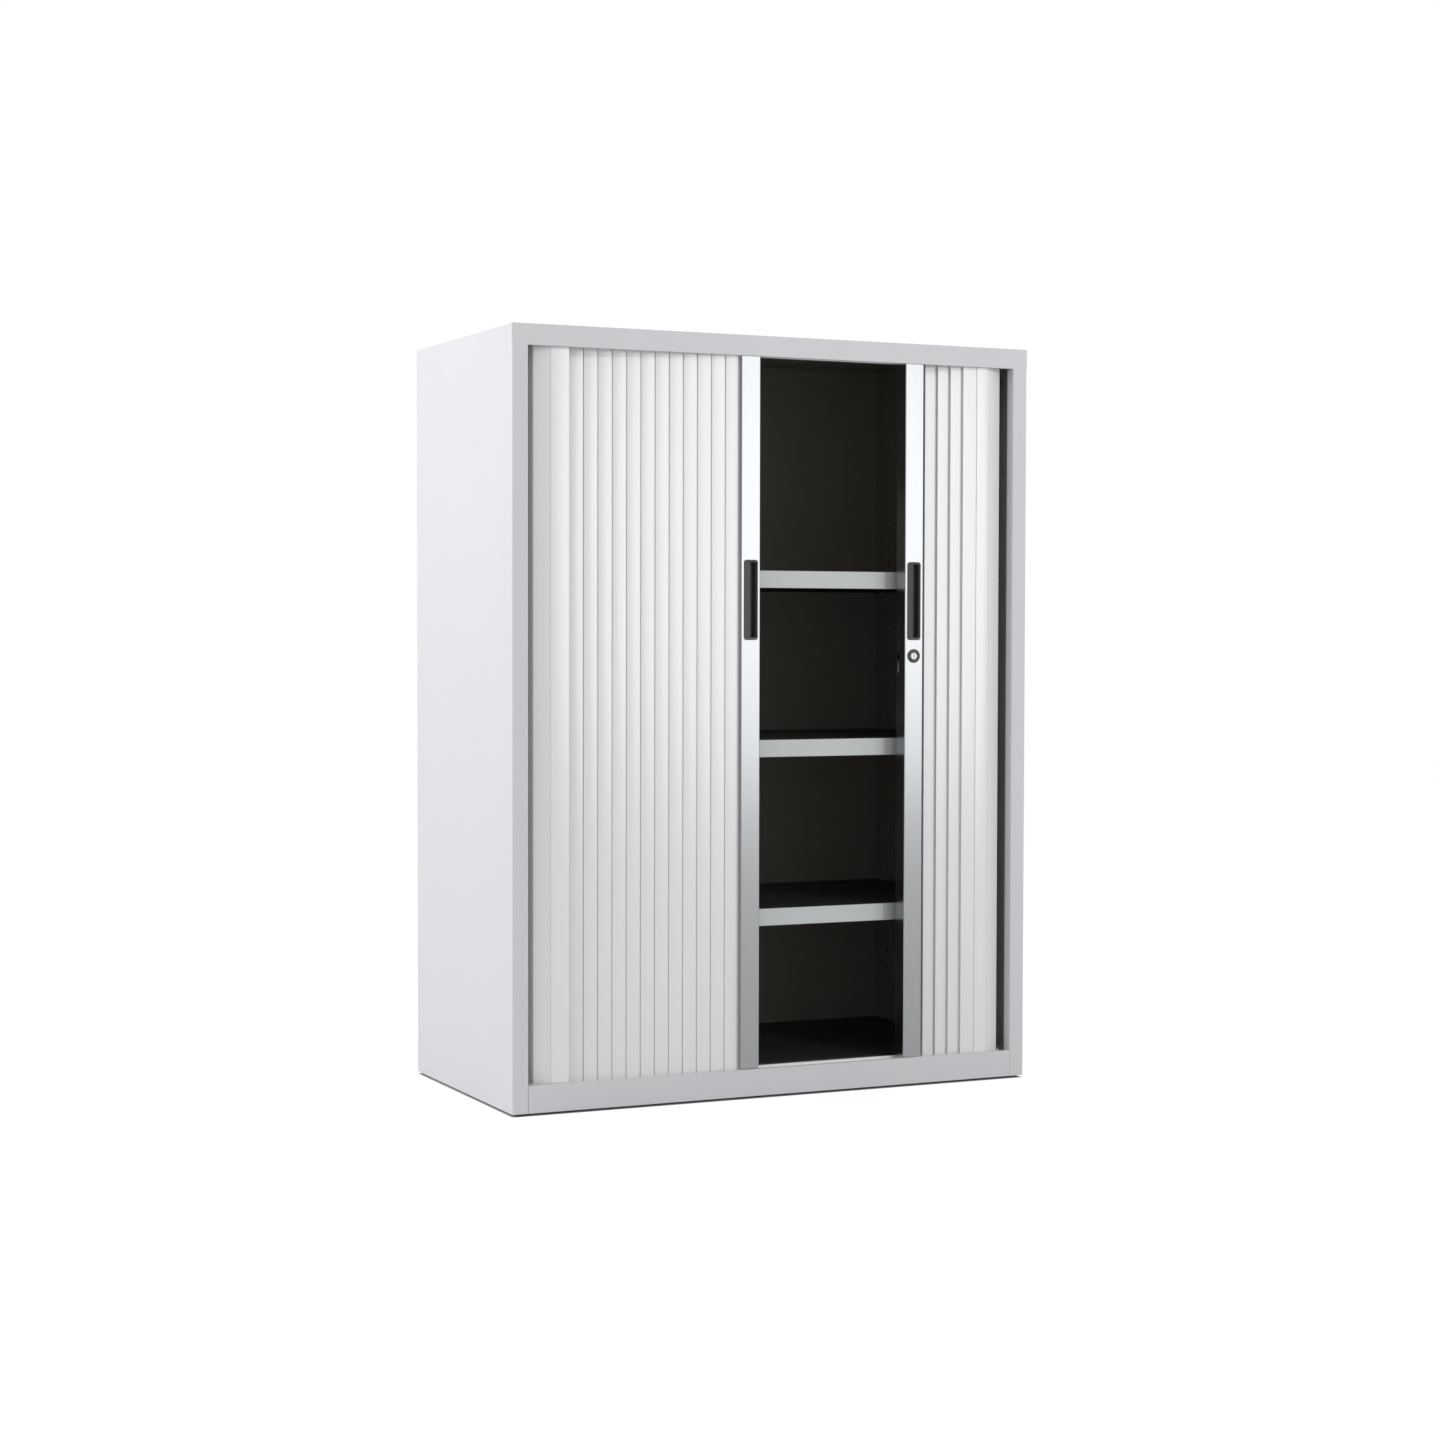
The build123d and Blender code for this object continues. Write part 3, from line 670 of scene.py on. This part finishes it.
# Operators
class CABINET_OT_casing(bpy.types.Operator):
    """Coats the casing's folded panels and sets the back's rivets."""

    bl_idname = "cabinet.casing"
    bl_label = "Casing"

    def execute(self, context):
        panels = (
            "side_panel_left", "side_panel_right", "top_panel", "base_panel", "bottom_rail", "back_panel"
        )
        for node in panels:
            dress_node(node, "casing_enamel")
        head_radius = 3.2 * MM
        head_height = 1.0 * MM
        rivets = 6
        low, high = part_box("casing_rivets")
        tree = rivet_tree()
        values = {"Rivets": rivets, "Head radius": head_radius, "Head height": head_height}
        values["Finish"] = finish("zinc_steel")
        columns = []
        for x in (low.x + head_radius, high.x - head_radius):
            ends = [(x, high.y, z) for z in (low.z + head_radius, high.z - head_radius)]
            columns.append(grow(path_object("rivet_column", ends), tree, values))
        # A mesh from Geometry Nodes has an empty first slot, which leaves the joined rivets bare.
        mesh = joined(columns, "back_rivets")
        add_piece("back_rivets", mesh, "casing", "zinc_steel", ["casing_rivets"])
        return {"FINISHED"}


class CABINET_OT_interior(bpy.types.Operator):
    """Coats the inside, the shelves and their front edges, and plates the clips."""

    bl_idname = "cabinet.interior"
    bl_label = "Interior"

    def execute(self, context):
        for node in ("inner_wall_left", "inner_wall_right"):
            dress_node(node, "interior_black")
        for node in ("floor_liner", "shelf_upper", "shelf_middle", "shelf_lower"):
            dress_node(node, "trays")
        dress_node("shelf_front_edges", "shelf_edge")
        dress_node("shelf_clips", "zinc_steel")
        return {"FINISHED"}


class CABINET_OT_tracks(bpy.types.Operator):
    """Gives the curtain tracks and their end stops their plastics."""

    bl_idname = "cabinet.tracks"
    bl_label = "Tracks"

    def execute(self, context):
        for node in ("track_bottom", "track_top"):
            dress_node(node, "track_plastic")
        dress_node("track_end_stops", "black_plastic")
        return {"FINISHED"}


class CABINET_OT_curtains(bpy.types.Operator):
    """Makes every slat of the two curtains, on its own body."""

    bl_idname = "cabinet.curtains"
    bl_label = "Curtains"

    def execute(self, context):
        tree = slat_tree()
        for side, edge in (("left", 1), ("right", -1)):
            for place in range(1, SLATS_A_DOOR + 1):
                self.front_slat(tree, side, edge, place)
            self.corner(tree, side, edge)
            self.side_run(tree, side, edge)
        return {"FINISHED"}

    def front_slat(self, tree, side, edge, place):
        """One slat of the front run. The last one stands at the bar and rides on its door."""
        node = f"{side}_slat_{place:02d}"
        body = f"{side}_curtain_{place:02d}" if place < SLATS_A_DOOR else f"{side}_door"
        cabinet = bpy.context.scene.cabinet
        relief = cabinet.slat_relief if side == "left" else cabinet.nested_relief
        lap = cabinet.slat_lap if side == "left" else 0.0
        low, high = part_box(node)
        width = high.x - low.x
        height = high.z - low.z
        points = [(low.x, low.y, low.z), (high.x, low.y, low.z)]
        mesh = slat_mesh(tree, f"{node}_formed", points, 1, width, height, edge, relief, lap)
        add_piece(mesh.name, mesh, body, "slat_plastic", [node])

    def corner(self, tree, side, edge):
        """Two slats round the corner, and the strips beside it before and behind the moving slats."""
        slats = 2
        half_slat_angle = math.pi / 8
        gap = 0.4 * MM
        steps = 32
        node = f"{side}_bend_slats"
        radius = bpy.context.scene.cabinet.corner_radius
        relief = bpy.context.scene.cabinet.slat_relief
        low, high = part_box(node)
        height = high.z - low.z
        outer = low.x if edge > 0 else high.x
        centre_x = outer + edge * radius
        centre_y = low.y + radius
        reach = radius * math.cos(half_slat_angle)
        angles = [math.pi + math.pi / 2 * step / steps for step in range(steps + 1)]
        arc = [(centre_x + edge * reach * math.cos(a), centre_y + reach * math.sin(a), low.z) for a in angles]
        if edge < 0:
            arc.reverse()
        chord = 2 * radius * math.sin(half_slat_angle) - gap
        mesh = slat_mesh(tree, f"{side}_corner_slats", arc, slats, chord, height, edge, relief)
        add_piece(mesh.name, mesh, "casing", "slat_plastic", [node])
        start = centre_x + edge * gap
        strips = [("strip", low.y, low.x)]
        if side == "left":
            strips = [("strip", low.y, start + LEFT_STRIP_WIDTH)]
            strips.append(("rear_strip", low.y + REAR_STRIP_DEPTH, high.x))
        for kind, y, inner in strips:
            ends = sorted((start, inner))
            points = [(x, y, low.z) for x in ends]
            width = ends[1] - ends[0]
            mesh = slat_mesh(tree, f"{side}_corner_{kind}", points, 1, width, height, edge, relief)
            add_piece(mesh.name, mesh, "casing", "slat_plastic", [node])

    def side_run(self, tree, side, edge):
        """The slats that lie along the inside of the side panel."""
        pitch = 24 * MM
        gap = 0.5 * MM
        node = f"{side}_side_slats"
        low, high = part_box(node)
        height = high.z - low.z
        outer = low.x if edge > 0 else high.x
        slats = round((high.y - low.y) / pitch)
        ends = [(outer, high.y, low.z), (outer, low.y, low.z)]
        if edge < 0:
            ends.reverse()
        relief = bpy.context.scene.cabinet.slat_relief
        mesh = slat_mesh(tree, f"{node}_formed", ends, slats, pitch - gap, height, edge, relief)
        add_piece(mesh.name, mesh, "casing", "slat_plastic", [node])


class CABINET_OT_bars(bpy.types.Operator):
    """Anodises the two leading bars and gives their glides nylon."""

    bl_idname = "cabinet.bars"
    bl_label = "Leading bars"

    def execute(self, context):
        for side in ("left", "right"):
            dress_node(f"{side}_bar", "bar_enamel")
            dress_node(f"{side}_bar_glides", "glide_nylon")
        return {"FINISHED"}


class CABINET_OT_grips(bpy.types.Operator):
    """Moulds the two scooped grips."""

    bl_idname = "cabinet.grips"
    bl_label = "Grips"

    def execute(self, context):
        for side in ("left", "right"):
            node = f"{side}_handle"
            mesh = skin(self.rings(*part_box(node)), f"{side}_grip")
            add_piece(mesh.name, mesh, f"{side}_door", "black_plastic", [node])
        return {"FINISHED"}

    def rings(self, low, high):
        """From the cup's back, round the flange's edge, over the slope on the left into the pocket."""
        bar_sheet = 1.2 * MM
        flange_x = 2.2 * MM
        flange_z = 3.2 * MM
        flange_corner = 4.5 * MM
        edge_radius = 0.6 * MM
        edge_steps = 4
        cup_corner = 2.5 * MM
        rim_inset = 0.2 * MM
        rim_corner = 2.3 * MM
        rim_depth = 1.0 * MM
        mouth_inset = 0.6 * MM
        mouth_corner = 2.0 * MM
        slope_depth = 0.5 * MM
        slope_angle = math.radians(9.0)
        wall = 1.0 * MM
        pocket_reach = 1.5 * MM
        bevel = 0.3 * MM
        bevel_depth = 3.4 * MM
        floor_insets = (0.4 * MM, 3.0 * MM)
        floor_corner = 1.8 * MM
        floor_wall = 1.4 * MM

        middle = (low + high) / 2
        half_x = (high.x - low.x) / 2
        half_z = (high.z - low.z) / 2
        bar_face = low.y + bar_sheet
        cup_x = half_x - flange_x
        cup_z = half_z - flange_z
        mouth_x = cup_x - mouth_inset
        mouth_z = cup_z - mouth_inset
        rise = math.tan(slope_angle)

        def slope(x):
            """Depth of the mouth's floor, which falls away to the right."""
            return low.y + slope_depth + rise * (x - middle.x + mouth_x)

        def rim(x):
            """Depth of the edge between the flange's bevel and the mouth."""
            return min(slope(x), low.y + rim_depth)

        rings = [rounded_ring(middle, cup_x, cup_z, cup_corner, y) for y in (high.y, bar_face)]
        rings.append(rounded_ring(middle, half_x, half_z, flange_corner, bar_face))
        for step in range(edge_steps + 1):
            angle = math.pi / 2 * step / edge_steps
            inset = edge_radius * (1 - math.cos(angle))
            y = low.y + edge_radius * (1 - math.sin(angle))
            rings.append(rounded_ring(middle, half_x - inset, half_z - inset, flange_corner - inset, y))
        rings.append(rounded_ring(middle, cup_x - rim_inset, cup_z - rim_inset, rim_corner, rim))
        rings.append(rounded_ring(middle, mouth_x, mouth_z, mouth_corner, slope))
        right = middle.x + cup_x - wall
        left = middle.x - pocket_reach
        pocket = Vector(((left + right) / 2, 0, middle.z))
        pocket_x = (right - left) / 2
        pocket_z = cup_z - wall
        rings.append(rounded_ring(pocket, pocket_x, pocket_z, mouth_corner, slope))
        depth = low.y + bevel_depth
        rings.append(rounded_ring(pocket, pocket_x - bevel, pocket_z - bevel, mouth_corner, depth))
        depth = high.y - floor_wall
        for inset in floor_insets:
            rings.append(rounded_ring(pocket, pocket_x - inset, pocket_z - inset, floor_corner, depth))
        return rings


class CABINET_OT_lock(bpy.types.Operator):
    """Turns the lock's ring, and plates its plug, nut, cam and strike."""

    bl_idname = "cabinet.lock"
    bl_label = "Lock"

    def execute(self, context):
        steps = 48
        flange_width = 2.2 * MM
        flange_depth = 1.8 * MM
        edge = 0.9 * MM
        edge_middle = 0.3 * MM
        clearance = 0.15 * MM
        lip_width = 1.0 * MM
        lip_depth = 0.45 * MM
        lip_edge_width = 0.4 * MM
        lip_edge_depth = 0.2 * MM
        low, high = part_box("lock_housing")
        plug_low, plug_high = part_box("lock_plug")
        middle = (low + high) / 2
        radius = (high.x - low.x) / 2
        barrel = radius - flange_width
        bore = (plug_high.x - plug_low.x) / 2 + clearance
        lip = bore - lip_width
        profile = [
            (bore, high.y),
            (barrel, high.y),
            (barrel, low.y + flange_depth),
            (radius, low.y + flange_depth),
            (radius, low.y + edge),
            (radius - edge_middle, low.y + edge_middle),
            (radius - edge, low.y),
            (lip + lip_edge_width, low.y),
            (lip, low.y + lip_edge_depth),
            (lip, low.y + lip_depth),
            (bore, low.y + lip_depth),
        ]
        rings = [[(middle.x + u, y, middle.z + v) for u, v in circle(r, steps)] for r, y in profile]
        mesh = skin(rings, "lock_ring", endless=True)
        add_piece("lock_ring", mesh, "right_door", "black_plastic", ["lock_housing"])
        dress_node("lock_plug", "nickel")
        for node in ("lock_nut", "lock_cam", "lock_strike"):
            dress_node(node, "zinc_steel")
        return {"FINISHED"}


class CABINET_OT_feet(bpy.types.Operator):
    """Turns the levelling feet with their threads, and plates their nuts."""

    bl_idname = "cabinet.feet"
    bl_label = "Feet"

    def execute(self, context):
        steps = 32
        pad = 16 * MM
        pad_top = 7.0 * MM
        stem = 4 * MM
        collar = 2 * MM
        thread = 1.25 * MM
        thread_start = 7.5 * MM
        thread_depth = 0.5 * MM
        unthreaded = 8 * MM
        tip_inset = 0.8 * MM
        low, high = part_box("levelling_feet")
        # How far inside the pad's radius its outline runs, and how high, in millimetres
        pad_outline = ((1.5, 0.0), (0.0, 1.0), (0.0, 4.5), (2.0, 6.6))
        profile = [(pad - inset * MM, z * MM) for inset, z in pad_outline]
        profile += [(stem + collar, pad_top), (stem, pad_top)]
        for turn in range(int((high.z - unthreaded) / thread)):
            z = thread_start + turn * thread
            profile += [(stem, z), (stem - thread_depth, z + thread / 2)]
        profile.append((stem - tip_inset, high.z))
        feet = []
        for x in (low.x + pad, high.x - pad):
            for y in (low.y + pad, high.y - pad):
                rings = [[(x + u, y + v, z) for u, v in circle(r, steps)] for r, z in profile]
                foot = skin(rings, "foot")
                foot.materials.append(finish("rubber"))
                feet.append(foot)
        mesh = joined(feet, "threaded_feet")
        add_piece("threaded_feet", mesh, "casing", "rubber", ["levelling_feet"])
        dress_node("foot_nuts", "zinc_steel")
        return {"FINISHED"}


class CABINET_OT_stage(bpy.types.Operator):
    """Sets the floor, the world, the lamps and the camera."""

    bl_idname = "cabinet.stage"
    bl_label = "Stage"

    def execute(self, context):
        stage = context.scene.stage
        self.floor(stage)
        self.world(context.scene, stage)
        self.lamp(
            "key_lamp", place=(1.1, -3.6, 2.6), target=(-0.2, 0.0, 0.5), size=0.35, power=stage.key_power
        )
        self.lamp(
            "disc_lamp", place=(1.65, -3.3, 1.02), target=(-0.05, 0.0, 0.75), size=1.6,
            power=stage.disc_power,
        )
        self.lamp(
            "side_lamp", place=(-3.2, 0.4, 2.1), target=(-0.45, 0.1, 0.8), size=1.9, power=stage.side_power
        )
        camera = bpy.data.objects.new("camera", bpy.data.cameras.new("camera"))
        context.scene.collection.objects.link(camera)
        camera.location = stage.camera_place
        camera.rotation_euler = (math.pi / 2 + stage.elevation, -stage.roll, -stage.azimuth)
        camera.data.lens = stage.lens
        camera.data.sensor_width = 36
        context.scene.camera = camera
        context.scene.view_settings.view_transform = "Standard"
        return {"FINISHED"}

    def floor(self, stage):
        """A matt floor that shows as white to the camera and in reflections, but keeps shadows.

        Under the cupboard it is plain floor, so that the gap there is as dark as it would be.
        """
        reach = 14.0
        glow_strength = 1.71
        camera_share = 0.45
        glossy_share = 0.2
        below = -1.0
        mesh = bpy.data.meshes.new("floor")
        corners = [(-reach, -reach, 0), (reach, -reach, 0), (reach, reach, 0), (-reach, reach, 0)]
        mesh.from_pydata(corners, [], [(0, 1, 2, 3)])
        floor = bpy.data.objects.new("floor", mesh)
        bpy.context.scene.collection.objects.link(floor)
        values = {"Roughness": 0.9, "Specular IOR Level": 0.2}
        material, tree, shader = new_material("matt_studio_floor", values)
        texture(tree, shader, tone=(pattern(tree, 400), shade(stage.floor_colour, 0.99), stage.floor_colour))
        low, high = CAD_BOX
        under = inside_box(tree, (low.x, low.y, below), high)
        clear = add_node(tree, "ShaderNodeMath", {0: 1.0, 1: under}, operation="SUBTRACT").outputs[0]
        rays = add_node(tree, "ShaderNodeLightPath").outputs
        seen = add_node(
            tree, "ShaderNodeMath", {0: rays["Is Camera Ray"], 1: rays["Is Transmission Ray"]},
            operation="MAXIMUM",
        ).outputs[0]
        seen = add_node(
            tree, "ShaderNodeMath", {0: seen, 1: camera_share}, operation="MULTIPLY"
        ).outputs[0]
        seen = add_node(
            tree, "ShaderNodeMath", {0: rays["Is Glossy Ray"], 1: glossy_share, 2: seen},
            operation="MULTIPLY_ADD",
        ).outputs[0]
        seen = add_node(tree, "ShaderNodeMath", {0: seen, 1: clear}, operation="MULTIPLY").outputs[0]
        glow = add_node(
            tree, "ShaderNodeEmission", {"Color": WHITE, "Strength": glow_strength}
        ).outputs[0]
        mix = add_node(tree, "ShaderNodeMixShader", {0: seen, 1: shader.outputs[0], 2: glow}).outputs[0]
        tree.links.new(mix, tree.nodes["Material Output"].inputs["Surface"])
        mesh.materials.append(material)

    def world(self, scene, stage):
        """Even light all round, which shows as white to the camera and in reflections."""
        world = bpy.data.worlds.new("studio")
        scene.world = world
        world.use_nodes = True
        tree = world.node_tree
        even = tree.nodes["Background"]
        even.inputs["Color"].default_value = WHITE
        even.inputs["Strength"].default_value = stage.ambient
        white = add_node(tree, "ShaderNodeBackground", {"Color": WHITE, "Strength": 1.0}).outputs[0]
        rays = add_node(tree, "ShaderNodeLightPath").outputs
        seen = add_node(
            tree, "ShaderNodeMath", {0: rays["Is Camera Ray"], 1: rays["Is Glossy Ray"]},
            operation="MAXIMUM",
        ).outputs[0]
        seen = add_node(
            tree, "ShaderNodeMath", {0: seen, 1: rays["Is Transmission Ray"]}, operation="MAXIMUM"
        ).outputs[0]
        mix = add_node(tree, "ShaderNodeMixShader", {0: seen, 1: even.outputs[0], 2: white}).outputs[0]
        tree.links.new(mix, tree.nodes["World Output"].inputs["Surface"])

    def lamp(self, name, place, target, size, power):
        """A soft round lamp that looks at a target."""
        light = bpy.data.lights.new(name, "AREA")
        light.shape = "DISK"
        light.size = size
        light.energy = power
        lamp = bpy.data.objects.new(name, light)
        bpy.context.scene.collection.objects.link(lamp)
        lamp.location = place
        lamp.rotation_euler = (Vector(target) - Vector(place)).to_track_quat("-Z", "Y").to_euler()


class VIEW3D_PT_cabinet(bpy.types.Panel):
    """Lists the cupboard's steps and settings."""

    bl_label = "Tambour cabinet"
    bl_space_type = "VIEW_3D"
    bl_region_type = "UI"
    bl_category = "Tambour"

    def draw(self, context):
        for operator in OPERATORS:
            self.layout.operator(operator.bl_idname)
        for settings in (context.scene.cabinet, context.scene.stage):
            for name in settings.bl_rna.properties.keys():
                if name not in ("rna_type", "name"):
                    self.layout.prop(settings, name)


OPERATORS = (
    CABINET_OT_casing, CABINET_OT_interior, CABINET_OT_tracks, CABINET_OT_curtains, CABINET_OT_bars,
    CABINET_OT_grips, CABINET_OT_lock, CABINET_OT_feet, CABINET_OT_stage,
)
CLASSES = (CabinetSettings, StageSettings, *OPERATORS, VIEW3D_PT_cabinet)


def register():
    for each in CLASSES:
        bpy.utils.register_class(each)
    bpy.types.Scene.cabinet = PointerProperty(type=CabinetSettings)
    bpy.types.Scene.stage = PointerProperty(type=StageSettings)


def unregister():
    del bpy.types.Scene.cabinet
    del bpy.types.Scene.stage
    for each in reversed(CLASSES):
        bpy.utils.unregister_class(each)


def main():
    register()
    bpy.ops.cabinet.casing()
    bpy.ops.cabinet.interior()
    bpy.ops.cabinet.tracks()
    bpy.ops.cabinet.curtains()
    bpy.ops.cabinet.bars()
    bpy.ops.cabinet.grips()
    bpy.ops.cabinet.lock()
    bpy.ops.cabinet.feet()
    bpy.ops.cabinet.stage()


if __name__ == "__main__":
    main()
